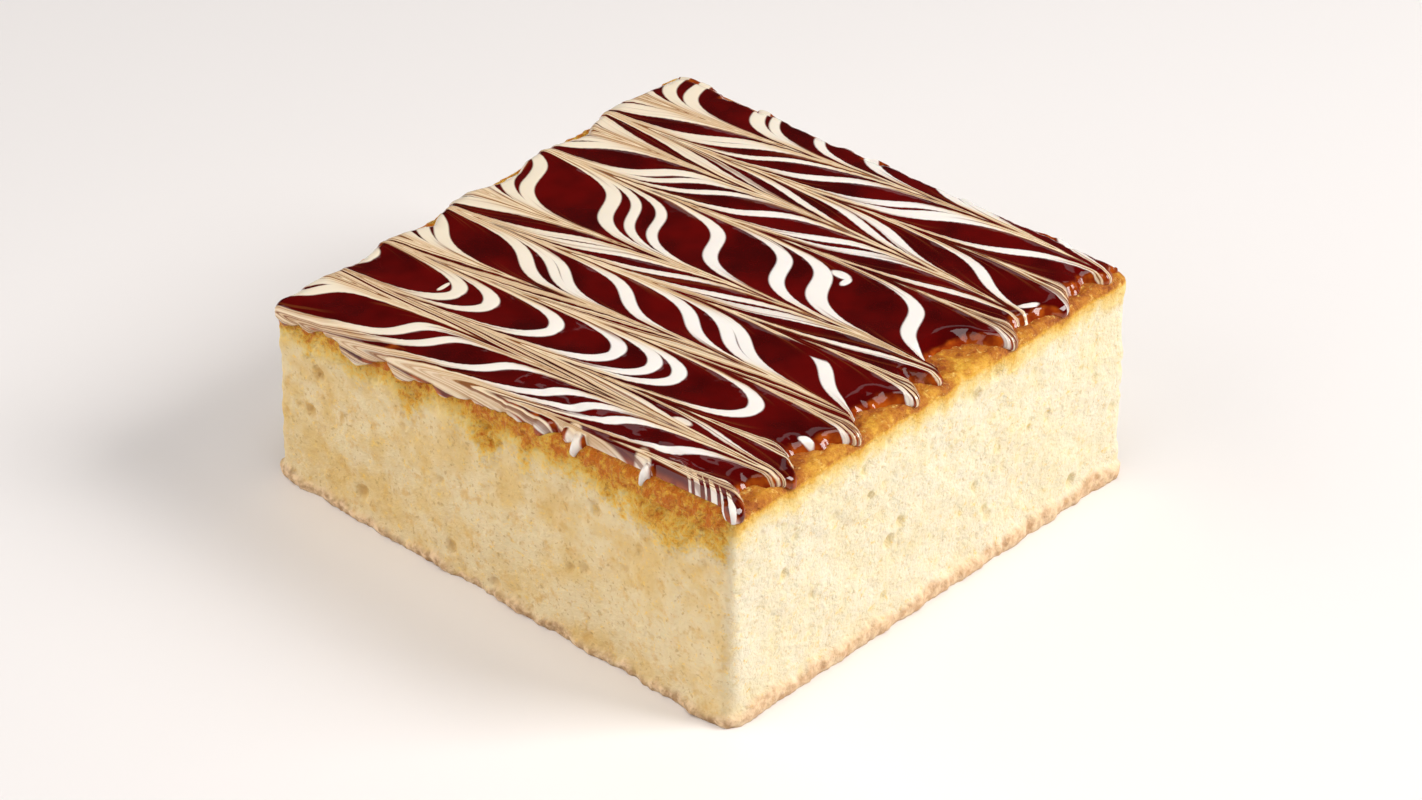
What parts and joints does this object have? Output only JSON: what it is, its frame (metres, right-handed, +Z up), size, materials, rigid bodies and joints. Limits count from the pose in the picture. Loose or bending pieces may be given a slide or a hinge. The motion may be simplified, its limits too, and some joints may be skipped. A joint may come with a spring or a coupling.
{
  "type": "tres leches cake slice",
  "caption": "Square slice of milk-soaked sponge cake under a glossy caramel glaze with feathered white icing; a serving of dessert to stand on a plate.",
  "frame": {"origin": "middle of the slice's bounding box at the level of the plate it stands on", "axes": "+Z up; the browned cut face is towards -Y and the pale cut face with the hanging lobes of glaze towards +X; the icing's lines were piped along Y and dragged along X"},
  "size_m": [0.0872, 0.0825, 0.0338],
  "materials": {
    "sponge": "moist open crumb, pale cream, browned to orange at its top rim and to pinkish brown at its skin",
    "caramel": "glossy dark red-brown caramel, marbled with dragged lines of white icing"
  },
  "bodies": {
    "root": {"sponge": "sponge", "caramel_glaze": "caramel"}
  },
  "joints": []
}
